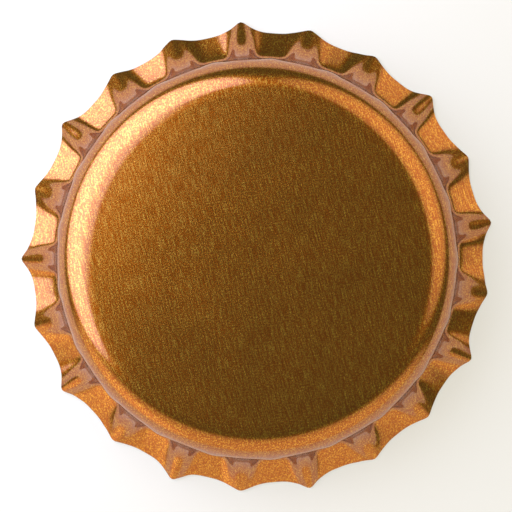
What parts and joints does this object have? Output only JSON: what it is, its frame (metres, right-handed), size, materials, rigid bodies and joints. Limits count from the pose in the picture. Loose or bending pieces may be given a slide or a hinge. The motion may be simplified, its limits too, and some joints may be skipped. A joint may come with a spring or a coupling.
{
  "type": "bottle cap",
  "caption": "Unused crown cap with a fluted, flaring skirt and a moulded sealing liner, ready to be crimped onto a glass bottle.",
  "frame": {"origin": "on the cap's axis, in the plane that the edge of the skirt rests on", "axes": "+Z along the cap's axis, out of the top panel; +X towards the crest of one of the sharp flutes"},
  "size_m": [0.032, 0.0322, 0.006],
  "materials": {
    "lacquered_tinplate": "clear gold lacquer over bright rolled tinplate, glossy, with a fine rolling grain",
    "liner_compound": "soft off-white moulded sealing compound, satin"
  },
  "bodies": {
    "root": {"crown_shell": "lacquered_tinplate", "sealing_liner": "liner_compound"}
  },
  "joints": []
}
